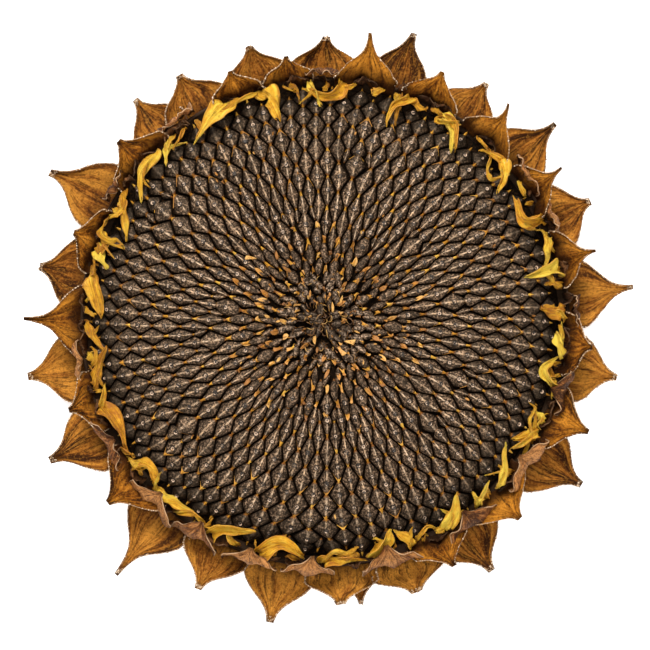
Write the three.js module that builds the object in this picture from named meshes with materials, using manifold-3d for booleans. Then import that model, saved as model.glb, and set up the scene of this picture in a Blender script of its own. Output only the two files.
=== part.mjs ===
// A dried sunflower seed head, picked from its stalk and lying on its back with the seeds up.
// Millimetres, +Z up. The origin is the middle of the flat cut that the stalk left, which the head rests on.
// Three bodies, one for each colour of the head: the receptacle with all its bracts, the ring of withered ray
// florets, and the seeds, which are relief on one slab.

import * as THREE from "three";
import { mergeVertices } from "three/addons/utils/BufferGeometryUtils.js";
import Module from "manifold-3d";

const wasm = await Module();
wasm.setup();

// Driving dimensions
const discRadius = 73.7; // outer edge of the seeds
const discCrown = 30; // height of the seeds' tips near the middle
const discRimDrop = 8.5; // how far the disc falls away towards its edge
const discDip = 2.2; // the sunk middle, where the seeds stayed small
const discDipRadius = 11;
const seatHeight = 18; // flat plate of the receptacle that the seeds stand on
const bodyGap = 0.35; // clear space between bodies
const cutRadius = 14; // flat cut of the stalk
const rimRadius = 79.2; // outside of the receptacle's rim
const rimInside = 75.75;
const rimTop = 24; // at its outside: it slopes down to the disc
const rimFoot = 20.8;
const turnSteps = 44; // sides of the turned pieces

const ridgeToNeck = 1.0; // a seed's ridge falls this much to its two ends
const ridgeToValley = 2.4; // and this much to the seam beside its neighbours
const neckShare = 0.22; // half width of a seed's narrow end, as a share of the way to the next seed
const rowDrift = THREE.MathUtils.degToRad(0.22); // the rows of seeds lean by this much a row
const crowding = 0.3; // how far each row evens out the spacing of the one before

// Seeds by distance from the middle: the radius, the step to the next row and how many stand in the row
const seedPlan = [
  [73.7, 2.7, 51],
  [64, 3.5, 50],
  [50, 4.45, 47],
  [36, 5.05, 42.5],
  [26.5, 4.7, 35.5],
  [17, 3.7, 26],
  [8, 2.4, 13],
  [3.4, 1.8, 7],
];

// Outer bracts: bearing in degrees, reach of the tip, full width, sideways hook of the tip, height of the tip
const outerBracts = [
  [6.3, 97.8, 21.5, 2.2, 15],
  [24.5, 92.2, 22.5, 0, 13],
  [40.6, 95.4, 19.5, 2.0, 17],
  [56.2, 91.0, 19.5, 0.6, 14],
  [73.3, 95.1, 19.0, 0.8, 16],
  [90.3, 89.8, 23.0, 1.0, 17],
  [105.2, 89.8, 21.0, -0.3, 19],
  [120.8, 90.6, 22.5, 0.4, 14],
  [130.6, 92.8, 19.0, 0.2, 10],
  [150.7, 98.6, 22.5, -0.6, 15],
  [169.0, 91.7, 22.5, 0, 13],
  [190.5, 95.2, 21.0, 0.2, 14],
  [206.8, 96.9, 20.5, 0.2, 16],
  [230.3, 99.4, 20.5, -1.2, 15],
  [244.6, 92.8, 22.5, 0.2, 19],
  [259.6, 96.4, 20.5, 0.1, 14],
  [273.7, 88.6, 22.0, 1.0, 20],
  [277.3, 90.2, 12.0, 0, 10],
  [289.0, 90.3, 22.5, 0.4, 18],
  [303.8, 94.4, 20.0, -0.1, 14],
  [327.5, 95.6, 20.5, -0.2, 15],
  [349.4, 93.5, 20.0, 0.2, 15],
];

// Middle bracts, which stand up round the disc before they turn out, with the same columns
const middleBracts = [
  [15.0, 86.5, 17.5, 0.4, 28],
  [33.2, 87.5, 17.5, 0.2, 28],
  [49.4, 88.2, 18.0, 0.6, 28],
  [64.6, 85.8, 18.0, -0.3, 27],
  [80.4, 90.4, 17.5, -1.2, 29],
  [98.7, 83.4, 15.5, 0.6, 27],
  [111.0, 83.2, 16.5, 0.4, 28],
  [138.8, 85.3, 22.0, 0, 27],
  [160.4, 82.8, 20.5, 0, 27],
  [179.7, 93.6, 20.5, 1.0, 25],
  [199.0, 84.2, 19.0, 0, 26],
  [219.8, 87.8, 21.5, 0, 25],
  [298.3, 85.4, 15.5, -1.0, 26],
  [314.4, 85.8, 21.0, 0, 25],
  [337.3, 88.7, 19.5, 0, 25],
  [354.8, 83.4, 19.0, 0.4, 27],
];

// Inner bracts, which fold in over the edge of the disc: bearing, reach of the tip, full width, height of the tip
const innerBracts = [
  [2.3, 77.4, 9.5, 26.5],
  [25.4, 77.0, 11.0, 26.5],
  [35.8, 77.2, 13.0, 26.5],
  [91.0, 76.8, 10.0, 26.5],
  [126.3, 77.4, 11.5, 26.5],
  [147.0, 77.0, 10.0, 26.5],
  [189.2, 76.6, 12.0, 26.5],
  [209.4, 75.4, 15.5, 27.0],
  [226.0, 73.9, 15.5, 27.5],
  [238.8, 73.4, 12.5, 27.5],
  [252.5, 75.2, 14.5, 27.5],
  [266.0, 73.6, 13.0, 27.5],
  [285.6, 72.4, 16.0, 28.0],
  [306.3, 73.4, 15.5, 27.5],
  [324.8, 74.2, 17.5, 27.5],
  [343.8, 73.6, 12.5, 27.5],
];

// Ray florets: bearing at the root, bearing and distance of the bend, bearing and distance of the tip, full width
const rayFlorets = [
  [2.5, 2.6, 71.5, 3.6, 66.8, 6.2],
  [12.5, 12.9, 71.0, 12.6, 62.9, 5.0],
  [21.0, 17.6, 73.2, 13.8, 70.2, 3.6],
  [25.2, 27.4, 69.0, 34.0, 70.6, 5.4],
  [43.2, 39.8, 72.0, 36.6, 66.4, 4.4],
  [60.6, 57.0, 72.4, 53.2, 65.0, 4.8],
  [69.0, 72.2, 70.2, 72.6, 63.2, 4.2],
  [86.0, 89.6, 70.8, 95.8, 73.2, 4.6],
  [93.8, 92.0, 71.4, 91.2, 66.8, 3.0],
  [105.0, 103.4, 71.4, 102.4, 63.4, 6.6],
  [114.6, 119.4, 72.2, 126.8, 68.4, 5.8],
  [131.0, 133.0, 72.6, 135.6, 69.2, 3.2],
  [135.2, 141.4, 73.4, 147.2, 68.0, 4.2],
  [149.0, 151.2, 71.4, 158.2, 66.4, 5.2],
  [158.4, 159.8, 72.0, 159.8, 66.4, 2.4],
  [161.6, 164.0, 72.6, 166.6, 69.8, 4.6],
  [168.6, 173.4, 71.8, 179.2, 69.6, 6.4],
  [180.8, 184.2, 72.2, 187.6, 69.0, 3.8],
  [195.2, 191.4, 72.0, 186.0, 68.2, 4.0],
  [200.8, 207.4, 73.0, 214.6, 74.0, 6.6],
  [216.6, 219.8, 71.4, 224.4, 73.6, 5.2],
  [225.6, 229.4, 73.0, 235.4, 71.8, 6.4],
  [241.8, 244.8, 71.6, 252.0, 68.6, 5.6],
  [254.0, 259.2, 70.6, 265.4, 74.4, 6.0],
  [269.8, 273.4, 74.2, 280.4, 75.8, 4.6],
  [282.2, 285.4, 70.4, 287.8, 67.6, 6.8],
  [291.4, 290.2, 71.8, 288.2, 67.8, 4.6],
  [300.4, 304.4, 71.6, 308.0, 66.8, 5.0],
  [310.0, 310.6, 72.4, 311.0, 69.8, 3.4],
  [316.6, 321.0, 72.0, 326.6, 67.4, 3.0],
  [332.2, 330.8, 71.8, 327.8, 68.4, 5.6],
  [335.4, 336.6, 73.2, 337.4, 70.8, 2.6],
  [344.2, 347.8, 69.6, 351.8, 74.0, 4.6],
  [352.0, 354.8, 73.4, 357.8, 72.6, 4.2],
];

const outerThickness = 0.8;
const innerThickness = 0.7;
const rayThickness = 0.65;
const rayLimit = 74.95; // no ray floret's middle reaches farther out, where the inner bracts stand

// Half widths along a blade, as shares of its greatest: [share of the length, share of the width]
const outerOutline = [
  [0, 0.62],
  [0.42, 0.97],
  [0.55, 1],
  [0.68, 0.76],
  [0.79, 0.33],
  [0.89, 0.14],
  [1, 0.05],
];
const middleOutline = [
  [0, 0.8],
  [0.3, 1],
  [0.52, 0.9],
  [0.7, 0.46],
  [0.84, 0.19],
  [1, 0.06],
];
const innerOutline = [
  [0, 0.95],
  [0.4, 1],
  [0.72, 0.55],
  [1, 0.1],
];
const rayOutline = [
  [0, 0.35],
  [0.3, 0.85],
  [0.55, 1],
  [0.8, 0.7],
  [1, 0.15],
];

// The value at x of a line through [x, y] points
function along(points, x, column = 1) {
  const after = points.findIndex((p) => (points[0][0] < points[1][0] ? p[0] >= x : p[0] <= x));
  if (after === 0) return points[0][column];
  if (after < 0) return points[points.length - 1][column];
  const [a, b] = [points[after - 1], points[after]];
  return THREE.MathUtils.mapLinear(x, a[0], b[0], a[column], b[column]);
}

// A repeatable stream of draws from 0 to 1
function draws(seed) {
  let state = seed;
  return () => {
    state = (state * 16807) % 2147483647;
    return state / 2147483647;
  };
}

// Height of the seeds' ridges at a distance from the middle
function discHeight(radius) {
  const fall = discRimDrop * (radius / discRadius) ** 5;
  const dip = discDip * Math.exp(-((radius / discDipRadius) ** 2));
  return discCrown - fall - dip;
}

function atBearing(radius, angle, height) {
  return new THREE.Vector3(radius * Math.cos(angle), radius * Math.sin(angle), height);
}

// A closed mesh as a manifold solid
function solidOf(geometry) {
  geometry.deleteAttribute("normal");
  geometry.deleteAttribute("uv");
  const merged = mergeVertices(geometry, 1e-4);
  return new wasm.Manifold(
    new wasm.Mesh({
      numProp: 3,
      vertProperties: merged.attributes.position.array,
      triVerts: new Uint32Array(merged.index.array),
    }),
  );
}

function geometryOf(solid) {
  const mesh = solid.getMesh();
  const points = new Float32Array(mesh.numVert * 3);
  for (let i = 0; i < mesh.numVert; i++) {
    points.set(mesh.vertProperties.subarray(i * mesh.numProp, i * mesh.numProp + 3), i * 3);
  }
  const geometry = new THREE.BufferGeometry();
  geometry.setAttribute("position", new THREE.BufferAttribute(points, 3));
  geometry.setIndex(new THREE.BufferAttribute(mesh.triVerts, 1));
  geometry.computeVertexNormals();
  return geometry;
}

function geometryFrom(points, faces) {
  const geometry = new THREE.BufferGeometry();
  geometry.setAttribute("position", new THREE.Float32BufferAttribute(points.flatMap((p) => p.toArray()), 3));
  geometry.setIndex(faces.flat());
  return geometry;
}

function turned(profile) {
  const geometry = new THREE.LatheGeometry(
    profile.map(([radius, height]) => new THREE.Vector2(radius, height)),
    turnSteps,
  );
  return geometry.rotateX(Math.PI / 2);
}

// A thin blade: place(s, u, side) gives the point a share s along it and u across it, on its upper or lower face.
// Both faces are split along the same diagonals, so that they never cross.
function bladeSolid(stations, lanes, place) {
  const points = [];
  const faces = [];
  const index = (row, lane, side) => (row * (lanes + 1) + lane) * 2 + side;
  for (const s of stations) {
    for (let lane = 0; lane <= lanes; lane++) {
      const u = (2 * lane) / lanes - 1;
      points.push(place(s, u, 1), place(s, u, -1));
    }
  }
  const quad = (a, b, c, d) => faces.push([a, b, c], [a, c, d]);
  const last = stations.length - 1;
  for (let row = 0; row < last; row++) {
    for (let lane = 0; lane < lanes; lane++) {
      const corners = [
        [row, lane],
        [row + 1, lane],
        [row + 1, lane + 1],
        [row, lane + 1],
      ];
      quad(...corners.map(([r, l]) => index(r, l, 0)));
      const [a, b, c, d] = corners.map(([r, l]) => index(r, l, 1));
      faces.push([a, c, b], [a, d, c]);
    }
    quad(index(row, 0, 1), index(row + 1, 0, 1), index(row + 1, 0, 0), index(row, 0, 0));
    quad(index(row, lanes, 0), index(row + 1, lanes, 0), index(row + 1, lanes, 1), index(row, lanes, 1));
  }
  for (let lane = 0; lane < lanes; lane++) {
    quad(index(0, lane, 0), index(0, lane + 1, 0), index(0, lane + 1, 1), index(0, lane, 1));
    quad(index(last, lane, 1), index(last, lane + 1, 1), index(last, lane + 1, 0), index(last, lane, 0));
  }
  return solidOf(geometryFrom(points, faces));
}

// A bract runs from its root through a bend to its tip, each a [distance, height], and wraps round the head.
// Its edges stand up by cup times the half width, and its tip bends sideways by hook.
function bract({ bearing, root, bend, tip, width, hook = 0, cup, outline, lanes, thickness }) {
  const start = new THREE.Vector2(...root);
  const middle = new THREE.Vector2(...bend);
  const end = new THREE.Vector2(...tip);
  const spine = new THREE.QuadraticBezierCurve(start, middle, end);
  const angle = THREE.MathUtils.degToRad(bearing);
  return bladeSolid(
    outline.map(([s]) => s),
    lanes,
    (s, u, side) => {
      const { x: radius, y: height } = spine.getPoint(s);
      const heading = spine.getTangent(s);
      const half = (width / 2) * along(outline, s);
      const off = cup * half * u * u * (1 - s) + (side * thickness) / 2;
      const across = u * half + hook * s ** 4;
      const distance = radius - heading.y * off;
      return atBearing(distance, angle + across / radius, height + heading.x * off);
    },
  );
}

// The receptacle: the stalk's flat cut, the ribless back, the rim, and the flat plate inside it
function receptacle() {
  return solidOf(
    turned([
      [0, 0],
      [cutRadius, 0],
      [cutRadius + 1, 2.4],
      [24, 4.6],
      [44, 7.0],
      [62, 10.4],
      [73, 14.6],
      [rimRadius, 19.4],
      [rimRadius, rimTop],
      [rimInside, rimFoot],
      [rimInside, seatHeight],
      [0, seatHeight],
    ]),
  );
}

function bracts() {
  const outer = outerBracts.map(([bearing, reach, width, hook, tipHeight]) =>
    bract({
      bearing,
      root: [68.5, 12.5],
      bend: [81, 12.5 + (tipHeight - 12.5) * 0.3],
      tip: [reach, tipHeight],
      width,
      hook,
      cup: 0.22,
      outline: outerOutline,
      lanes: 3,
      thickness: outerThickness,
    }),
  );
  const middle = middleBracts.map(([bearing, reach, width, hook, tipHeight]) =>
    bract({
      bearing,
      root: [78.4, 16.5],
      bend: [78.8, tipHeight + 0.5],
      tip: [reach, tipHeight],
      width,
      hook,
      cup: 0.12,
      outline: middleOutline,
      lanes: 3,
      thickness: outerThickness,
    }),
  );
  const inner = innerBracts.map(([bearing, reach, width, tipHeight]) =>
    bract({
      bearing,
      root: [76.5, 19],
      bend: [76.7, tipHeight + 0.6],
      tip: [reach, tipHeight],
      width,
      cup: 0,
      outline: innerOutline,
      lanes: 3,
      thickness: innerThickness,
    }),
  );
  return [...outer, ...middle, ...inner];
}

// The ray florets' bases stand side by side in a ring, and each blade bends in over the seeds
function rayFloretRing() {
  const [inside, outside] = [74.4, 75.4];
  const top = 21;
  const ring = solidOf(
    turned([
      [inside, seatHeight + bodyGap],
      [outside, seatHeight + bodyGap],
      [outside, top],
      [inside, top],
      [inside, seatHeight + bodyGap],
    ]),
  );
  const blades = rayFlorets.map(([rootBearing, bendBearing, bendRadius, tipBearing, tipRadius, width]) => {
    const [a, b, c] = [rootBearing, bendBearing, tipBearing].map(THREE.MathUtils.degToRad);
    const path = new THREE.CatmullRomCurve3(
      [
        atBearing(74.9, a, 20),
        atBearing(74.7, a, 23.4),
        atBearing(bendRadius, b, discHeight(bendRadius) + 2.5),
        atBearing(tipRadius, c, discHeight(tipRadius) + 1.5),
      ],
      false,
      "centripetal",
    );
    return bladeSolid(
      rayOutline.map(([s]) => s),
      2,
      (s, u, side) => {
        const centre = path.getPoint(s);
        const heading = path.getTangent(s);
        const flat = new THREE.Vector3(centre.y, -centre.x, 0).normalize();
        const level = new THREE.Vector3(-heading.y, heading.x, 0).normalize();
        const across = flat.lerp(level, THREE.MathUtils.smoothstep(s, 0.1, 0.5)).normalize();
        const up = heading.clone().cross(across).normalize();
        const half = (width / 2) * along(rayOutline, s);
        const point = centre.addScaledVector(across, u * half);
        const distance = Math.hypot(point.x, point.y);
        const inward = Math.min(1, rayLimit / distance);
        point.multiply(new THREE.Vector3(inward, inward, 1));
        const arch = 0.18 * half * (1 - u * u) * THREE.MathUtils.smoothstep(s, 0.2, 0.6);
        return point.addScaledVector(up, arch + (side * rayThickness) / 2);
      },
    );
  });
  return wasm.Manifold.union([ring, ...blades]);
}

// The rows of seeds, from the edge of the disc to its middle. Each seed stands in the notch between two of the row
// before, and where a row grows too tight one notch is passed over: above lists the notches that a seed fills.
function growRows() {
  const draw = draws(4217);
  const first = seedPlan[0][2];
  const rows = [
    {
      radius: discRadius,
      seeds: Array.from({ length: first }, (_, i) => ({
        angle: ((i + 0.2 * (draw() - 0.5)) * 2 * Math.PI) / first,
        above: [],
      })),
    },
  ];
  for (;;) {
    const { radius: outerRadius, seeds: before } = rows[rows.length - 1];
    const radius = outerRadius - along(seedPlan, outerRadius, 1);
    if (radius < seedPlan[seedPlan.length - 1][0]) return rows;
    const turn = (i) => before[i % before.length].angle + (i < before.length ? 0 : 2 * Math.PI);
    let seeds = before.map((seed, i) => ({ angle: (seed.angle + turn(i + 1)) / 2, above: [i] }));
    const wanted = Math.round(along(seedPlan, radius, 2));
    while (seeds.length > wanted) {
      const tightness = seeds.map((seed, i) => {
        const next = seeds[i + 1];
        if (!next || seed.above.length > 1 || next.above.length > 1) return Infinity;
        return next.angle - seed.angle + 0.01 * draw();
      });
      const at = tightness.indexOf(Math.min(...tightness));
      const [a, b] = seeds.slice(at, at + 2);
      seeds.splice(at, 2, { angle: (a.angle + b.angle) / 2, above: [...a.above, ...b.above] });
    }
    const full = 2 * Math.PI;
    seeds = seeds.map((seed, i, all) => {
      const left = i ? all[i - 1].angle : all[all.length - 1].angle - full;
      const right = i < all.length - 1 ? all[i + 1].angle : all[0].angle + full;
      const evened = seed.angle + crowding * ((left + right) / 2 - seed.angle);
      return { angle: evened + rowDrift, above: seed.above };
    });
    rows.push({ radius, seeds });
  }
}

// The slab of seeds. Round each seed's ridge runs a seam with its neighbours, and where two seeds meet end to end
// the seam rises to a neck: every gap between two seeds of a row has a left, a neck and a right point.
function seedSlab() {
  const rows = growRows();
  const points = [];
  const faces = [];
  const put = (radius, angle, height) => points.push(atBearing(radius, angle, height)) - 1;
  const full = 2 * Math.PI;
  rows.forEach((row, r) => {
    row.seeds.forEach((seed) => {
      seed.peak = put(row.radius, seed.angle, discHeight(row.radius));
      seed.below = [];
    });
    const inner = rows[r + 1];
    row.gaps = row.seeds.map((seed, i) => {
      const next = row.seeds[(i + 1) % row.seeds.length].angle + (i + 1 < row.seeds.length ? 0 : full);
      const lower = inner && inner.seeds.find((s) => s.above.includes(i));
      const upper = r && rows[r - 1].seeds[(seed.above.at(-1) + 1) % rows[r - 1].seeds.length];
      const near = (angle) => angle - full * Math.round((angle - (seed.angle + next) / 2) / full);
      const ends = [lower, upper].filter(Boolean).map((s) => near(s.angle));
      const middle = r && inner ? (ends[0] + ends[1]) / 2 : (seed.angle + next) / 2;
      const side = (angle) => THREE.MathUtils.lerp(middle, angle, neckShare);
      const height = discHeight(row.radius);
      return {
        left: put(row.radius, side(seed.angle), height - ridgeToValley),
        neck: put(row.radius, middle, height - (r ? ridgeToNeck : ridgeToValley)),
        right: put(row.radius, side(next), height - ridgeToValley),
      };
    });
  });
  rows.forEach((row, r) => {
    const count = row.seeds.length;
    const inner = rows[r + 1];
    row.seeds.forEach((seed, i) => {
      const outer = seed.above.flatMap((g) => {
        const { left, neck, right } = rows[r - 1].gaps[g];
        return [left, neck, right];
      });
      const onward = [];
      if (inner) {
        const before = (i - 1 + count) % count;
        const at = inner.seeds.findIndex((s) => s.above.includes(before));
        const oneSeed = inner.seeds[at].above.includes(i);
        if (!oneSeed) {
          const { left, neck, right } = inner.gaps[at];
          onward.push(right, neck, left);
        }
      }
      const ring = [...outer, row.gaps[i].left, ...onward, row.gaps[(i - 1 + count) % count].right];
      ring.forEach((p, k) => {
        const q = ring[(k + 1) % ring.length];
        if (r || k < ring.length - 1) faces.push([seed.peak, p, q]);
      });
    });
  });
  const core = rows[rows.length - 1];
  const middle = put(0, 0, discHeight(0) - ridgeToNeck);
  const coreRing = core.gaps.flatMap(({ left, neck, right }) => [left, neck, right]);
  coreRing.forEach((p, k) => faces.push([middle, p, coreRing[(k + 1) % coreRing.length]]));
  // The wall and the flat base
  const rim = rows[0];
  const base = seatHeight + bodyGap;
  const foot = rim.seeds.map((seed) => put(discRadius, seed.angle, base));
  const baseMiddle = put(0, 0, base);
  rim.seeds.forEach((seed, i) => {
    const next = (i + 1) % rim.seeds.length;
    const { left, neck, right } = rim.gaps[i];
    faces.push([foot[i], left, seed.peak], [foot[i], neck, left], [foot[i], foot[next], neck]);
    faces.push([foot[next], right, neck], [foot[next], rim.seeds[next].peak, right]);
    faces.push([baseMiddle, foot[next], foot[i]]);
  });
  return solidOf(geometryFrom(points, faces));
}

function named(name, solid, color, roughness) {
  const material = new THREE.MeshStandardMaterial({ color, roughness, metalness: 0 });
  const mesh = new THREE.Mesh(geometryOf(solid), material);
  mesh.name = name;
  return mesh;
}

const head = new THREE.Group();
head.add(
  named("receptacle_and_bracts", wasm.Manifold.union([receptacle(), ...bracts()]), 0x8a5a24, 0.85),
  named("ray_florets", rayFloretRing(), 0xe0a81c, 0.7),
  named("seeds", seedSlab(), 0x3a332e, 0.55),
);

export default head;
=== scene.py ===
import math

import bmesh
import bpy
from mathutils import Matrix, Vector, noise


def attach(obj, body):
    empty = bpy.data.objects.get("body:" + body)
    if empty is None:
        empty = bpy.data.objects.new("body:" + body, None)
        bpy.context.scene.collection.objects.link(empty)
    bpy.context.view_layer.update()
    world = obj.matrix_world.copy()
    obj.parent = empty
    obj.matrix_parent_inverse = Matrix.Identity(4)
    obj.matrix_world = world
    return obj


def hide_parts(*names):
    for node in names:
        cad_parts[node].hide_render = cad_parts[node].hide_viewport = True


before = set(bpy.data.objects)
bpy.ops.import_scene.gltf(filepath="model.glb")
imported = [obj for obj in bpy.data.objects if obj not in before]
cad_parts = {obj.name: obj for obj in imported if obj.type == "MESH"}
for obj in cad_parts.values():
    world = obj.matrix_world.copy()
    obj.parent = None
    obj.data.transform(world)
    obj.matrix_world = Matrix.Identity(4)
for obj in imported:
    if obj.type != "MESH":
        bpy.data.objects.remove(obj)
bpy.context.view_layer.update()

mm = 0.001
fullTurn = 2 * math.pi
drawFactor = 16807
drawRange = 2147483647
sheetCeiling = 29.8
pastCeiling = 0.3  # how much stays of what a sheet has above the ceiling
scene = bpy.context.scene


# The camera hangs straight over the head, and sees it as the photograph does

cameraSetup = {"lens": 135, "width": 203.1, "focusHeight": 22, "aim": (0.0, -0.94), "near": 0.01, "far": 20}


def makeCamera(setup):
    data = bpy.data.cameras.new("overheadCamera")
    data.lens = setup["lens"]
    data.clip_start = setup["near"]
    data.clip_end = setup["far"]
    camera = bpy.data.objects.new("overheadCamera", data)
    scene.collection.objects.link(camera)
    rise = setup["width"] / data.sensor_width * setup["lens"] + setup["focusHeight"]
    camera.location = (setup["aim"][0] * mm, setup["aim"][1] * mm, rise * mm)
    scene.camera = camera


makeCamera(cameraSetup)
print("camera placed")


# Small tools: steady draws, lines through points, and one sheet or copy added to a bmesh


def draws(seed):  # repeatable numbers from 0 to 1
    state = seed
    while True:
        state = (state * drawFactor) % drawRange
        yield state / drawRange


def take(draw, count):
    return [next(draw) for _ in range(count)]


def swing(draw, width):  # up to half the width to either side
    return (next(draw) - 0.5) * width


def mix(a, b, t):
    return a + (b - a) * t


def smooth(low, high, x):
    t = max(0.0, min(1.0, (x - low) / (high - low)))
    return t * t * (3 - 2 * t)


def along(points, x, column=1):  # straight lines through points whose first numbers rise or fall
    rising = points[0][0] < points[1][0]
    for k, point in enumerate(points):
        if (point[0] >= x) if rising else (point[0] <= x):
            if k == 0:
                return points[0][column]
            a, b = points[k - 1], point
            return mix(a[column], b[column], (x - a[0]) / (b[0] - a[0]))
    return points[-1][column]


def softAlong(points, x):  # the same line with its corners rounded
    return sum(along(points, x + d) * w for d, w in ((-0.05, 0.25), (0, 0.5), (0.05, 0.25)))


def atBearing(radius, angle, height):
    return Vector((radius * math.cos(angle), radius * math.sin(angle), height))


def curveThrough(points, s):  # a smooth curve through points, s from 0 to 1
    steps = len(points) - 1
    k = min(int(s * steps), steps - 1)
    t = s * steps - k
    a = points[max(k - 1, 0)]
    b, c = points[k], points[k + 1]
    d = points[min(k + 2, steps)]
    return 0.5 * ((2 * b) + (c - a) * t + (2 * a - 5 * b + 4 * c - d) * t**2 + (3 * b - a - 3 * c + d) * t**3)


def ripple(x, y, z=0.0):
    return noise.noise(Vector((x, y, z)))


def turned(z, x, y):
    return Matrix.Rotation(z, 3, "Z") @ Matrix.Rotation(x, 3, "X") @ Matrix.Rotation(y, 3, "Y")


def newMesh():
    bm = bmesh.new()
    bm.loops.layers.uv.new("UVMap")
    bm.verts.layers.float.new("tone")
    return bm


def addSheet(bm, columns, rows, place, tone):
    made = bmesh.ops.create_grid(bm, x_segments=columns, y_segments=rows, size=1.0)["verts"]
    flat = {v: (v.co.x, (v.co.y + 1) / 2) for v in made}
    uvMap = bm.loops.layers.uv["UVMap"]
    toneLayer = bm.verts.layers.float["tone"]
    for face in {f for v in made for f in v.link_faces}:
        face.smooth = True
        for loop in face.loops:
            u, s = flat[loop.vert]
            loop[uvMap].uv = ((u + 1) / 2, s)
    for v, (u, s) in flat.items():
        point = place(u, s)
        point.z = min(point.z, mix(sheetCeiling, point.z, pastCeiling))
        v.co = point * mm
        v[toneLayer] = tone


def addCopy(bm, template, place, tone):
    start = len(bm.verts)
    bm.from_mesh(template)
    bm.verts.ensure_lookup_table()
    toneLayer = bm.verts.layers.float["tone"]
    for v in bm.verts[start:]:
        v.co = place(v.co)
        v[toneLayer] = tone


def finishTemplate(bm, name):
    mesh = bpy.data.meshes.new(name)
    bm.to_mesh(mesh)
    bm.free()
    return mesh


def makePiece(bm, name, material, nodes=(), thickness=0.0):
    piece = bpy.data.objects.new(name, finishTemplate(bm, name))
    scene.collection.objects.link(piece)
    piece.data.materials.append(material)
    if thickness:
        wall = piece.modifiers.new("thickness", "SOLIDIFY")
        wall.thickness = thickness * mm
        wall.offset = 0
        wall.use_even_offset = False
    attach(piece, "root")
    if nodes:
        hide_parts(*nodes)


# Materials

coal = (0.004, 0.002, 0.001)
nearBlack = (0.004, 0.003, 0.002)
paleEdge = (0.75, 0.47, 0.26)
greyBloom = (0.24, 0.12, 0.08)


class Paint:  # a node tree with short calls for the few nodes that these finishes need
    def __init__(self, name):
        self.material = bpy.data.materials.new(name)
        self.material.use_nodes = True
        self.nodes = self.material.node_tree.nodes
        self.links = self.material.node_tree.links
        self.shader = self.nodes["Principled BSDF"]
        source = self.node("ShaderNodeTexCoord")
        self.place = source.outputs["Object"]
        self.across, self.length = self.split(source.outputs["UV"])[:2]
        self.tone = self.node("ShaderNodeAttribute", attribute_name="tone").outputs["Fac"]

    def wire(self, target, value):
        if isinstance(value, bpy.types.NodeSocket):
            self.links.new(value, target)
        else:
            target.default_value = value

    def node(self, kind, **settings):
        made = self.nodes.new(kind)
        for key, value in settings.items():
            setattr(made, key, value)
        return made

    def split(self, vector):
        made = self.node("ShaderNodeSeparateXYZ")
        self.links.new(vector, made.inputs[0])
        return made.outputs

    def weave(self, fine, long):  # a pattern's place that runs along a piece, and differs with its tone
        made = self.node("ShaderNodeCombineXYZ")
        for socket, value, scale in zip(made.inputs, (self.across, self.length, self.tone), (fine, long, 57)):
            self.links.new(self.times(value, scale), socket)
        return made.outputs[0]

    def noise(self, vector, scale, detail, roughness, distortion=0.0):
        made = self.node("ShaderNodeTexNoise")
        self.links.new(vector, made.inputs["Vector"])
        look = {"Scale": scale, "Detail": detail, "Roughness": roughness, "Distortion": distortion}
        for key, value in look.items():
            made.inputs[key].default_value = value
        return made.outputs["Fac"]

    def math(self, operation, *values):
        made = self.node("ShaderNodeMath", operation=operation)
        for socket, value in zip(made.inputs, values):
            self.wire(socket, value)
        return made.outputs[0]

    def times(self, product, *others):
        for value in others:
            product = self.math("MULTIPLY", product, value)
        return product

    def weigh(self, first, *others):  # the sum of values by their shares
        total = self.times(*first)
        for part in others:
            total = self.math("ADD", total, self.times(*part))
        return total

    def fromMiddle(self, value):
        return self.math("ABSOLUTE", self.math("SUBTRACT", value, 0.5))

    def stir(self, value, pattern, amount):
        return self.math("ADD", value, self.times(self.math("SUBTRACT", pattern, 0.5), amount))

    def span(self, value, low, high, start, end):  # value from low to high becomes start to end, eased
        made = self.node("ShaderNodeMapRange", interpolation_type="SMOOTHSTEP")
        for key, number in (("From Min", low), ("From Max", high), ("To Min", start), ("To Max", end)):
            made.inputs[key].default_value = number
        self.wire(made.inputs["Value"], value)
        return made.outputs["Result"]

    def ramp(self, value, *stops):
        made = self.node("ShaderNodeValToRGB")
        elements = made.color_ramp.elements
        while len(elements) < len(stops):
            elements.new(0.5)
        for element, (position, colour) in zip(elements, stops):
            element.position = position
            element.color = (*colour, 1)
        self.wire(made.inputs["Fac"], value)
        return made.outputs["Color"]

    def blend(self, amount, under, over):
        made = self.node("ShaderNodeMix", data_type="RGBA")
        self.wire(made.inputs[0], amount)
        self.wire(made.inputs[6], under)
        self.wire(made.inputs[7], (*over, 1))
        return made.outputs[2]

    def stain(self, colour, *layers):  # a layer: what it follows, from, to, strength at each, and colour
        for value, low, high, start, end, over in layers:
            colour = self.blend(self.span(value, low, high, start, end), colour, over)
        return colour

    def finish(self, colour, roughness, relief, depth, gloss=0.5, tint=(1, 1, 1), strength=1.0):
        bump = self.node("ShaderNodeBump")
        for key, value in (("Strength", strength), ("Distance", depth), ("Height", relief)):
            self.wire(bump.inputs[key], value)
        for key, value in (
            ("Base Color", colour),
            ("Roughness", roughness),
            ("Normal", bump.outputs["Normal"]),
            ("Specular IOR Level", gloss),
            ("Specular Tint", (*tint, 1)),
        ):
            self.wire(self.shader.inputs[key], value)
        return self.material


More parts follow.
